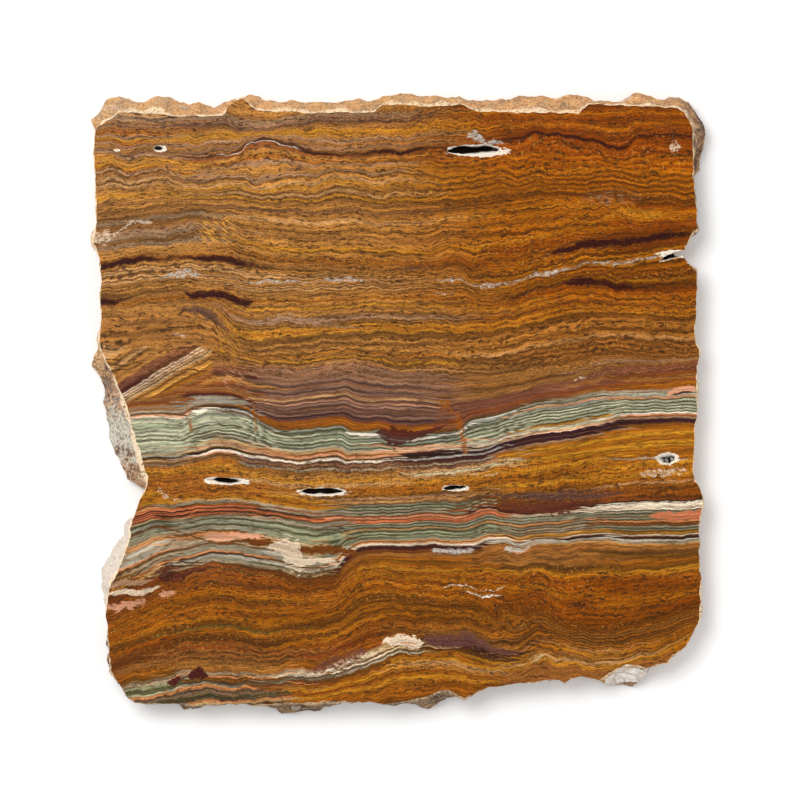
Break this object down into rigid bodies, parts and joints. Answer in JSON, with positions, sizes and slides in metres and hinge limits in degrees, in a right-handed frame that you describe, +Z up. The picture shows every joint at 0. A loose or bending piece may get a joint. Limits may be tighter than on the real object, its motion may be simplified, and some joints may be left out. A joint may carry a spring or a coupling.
{
  "type": "rough onyx slab",
  "caption": "Flat slab of banded brown and green onyx marble, sawn and polished on its broad face, broken by hand all round, with small crystal-lined hollows in the face.",
  "frame": {"origin": "on the underside, under the middle of the slab's bounding box", "axes": "+Z up through the thickness to the polished face, +X along the bands to the side with the small notch, +Y towards the side where the polished face ends in a sloping broken rim"},
  "size_m": [0.3072, 0.3112, 0.02],
  "materials": {
    "onyx": "polished"
  },
  "bodies": {
    "root": {"onyx_slab": "onyx"}
  },
  "joints": []
}
